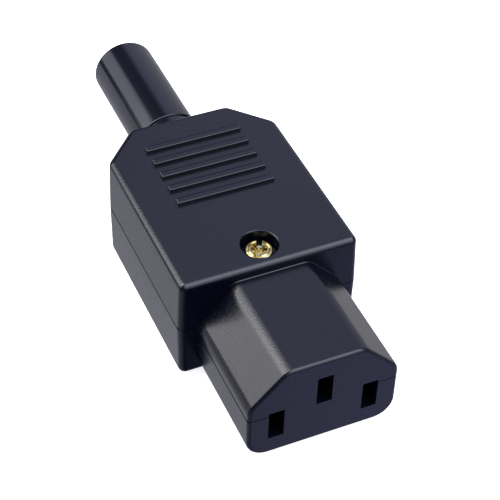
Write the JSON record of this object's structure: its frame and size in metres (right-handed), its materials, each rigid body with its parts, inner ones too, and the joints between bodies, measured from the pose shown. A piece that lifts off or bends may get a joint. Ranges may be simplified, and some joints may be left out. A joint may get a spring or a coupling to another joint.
{
  "type": "c13 power connector",
  "caption": "Rewireable mains connector with a bevelled nose slotted for an inlet's pins, a split casing closed by a screw, grip ribs and a rubber cord sleeve.",
  "frame": {"origin": "centre of the engagement face, midway between the live and neutral slots", "axes": "-Y out of the engagement face towards the inlet, +Y along the cord's exit, +Z towards the screw and the grip ribs"},
  "size_m": [0.0276, 0.0782, 0.0183],
  "materials": {
    "casing_plastic": "satin black with a fine spark-eroded grain",
    "sleeve_rubber": "smooth glossy black",
    "clamp_plastic": "moulded black",
    "contact_brass": "bright stamped",
    "spring_steel": "bright rolled",
    "small_screw_steel": "zinc plated",
    "yellow_zinc": "yellow passivated zinc",
    "washer_steel": "blackened"
  },
  "bodies": {
    "casing": {"upper_shell": "casing_plastic", "lower_shell": "casing_plastic", "cord_boot": "sleeve_rubber", "thread_insert": "contact_brass", "cord_clamp_bar": "clamp_plastic", "clamp_screw_left": "small_screw_steel", "clamp_screw_right": "small_screw_steel", "live_contact": "contact_brass", "live_spring": "spring_steel", "live_saddle": "small_screw_steel", "live_terminal_screw": "small_screw_steel", "neutral_contact": "contact_brass", "neutral_spring": "spring_steel", "neutral_saddle": "small_screw_steel", "neutral_terminal_screw": "small_screw_steel", "earth_contact": "contact_brass", "earth_spring": "spring_steel", "earth_saddle": "small_screw_steel", "earth_terminal_screw": "small_screw_steel"},
    "washer": {"assembly_washer": "washer_steel"},
    "screw": {"assembly_screw": "yellow_zinc"}
  },
  "joints": [
    {"name": "screw_lift", "type": "slide", "parent": "casing", "child": "washer", "axis": [0, 0, 1], "range_m": [0, 0.0045]},
    {"name": "screw_turn", "type": "hinge", "parent": "washer", "child": "screw", "pos_m": [0, 0.02237, 0.00937], "axis": [0, 0, 1], "range_deg": [0, 3600]}
  ],
  "couplings": [
    {"joint": "screw_turn", "follows": "screw_lift", "rad_per_m": 13963}
  ]
}
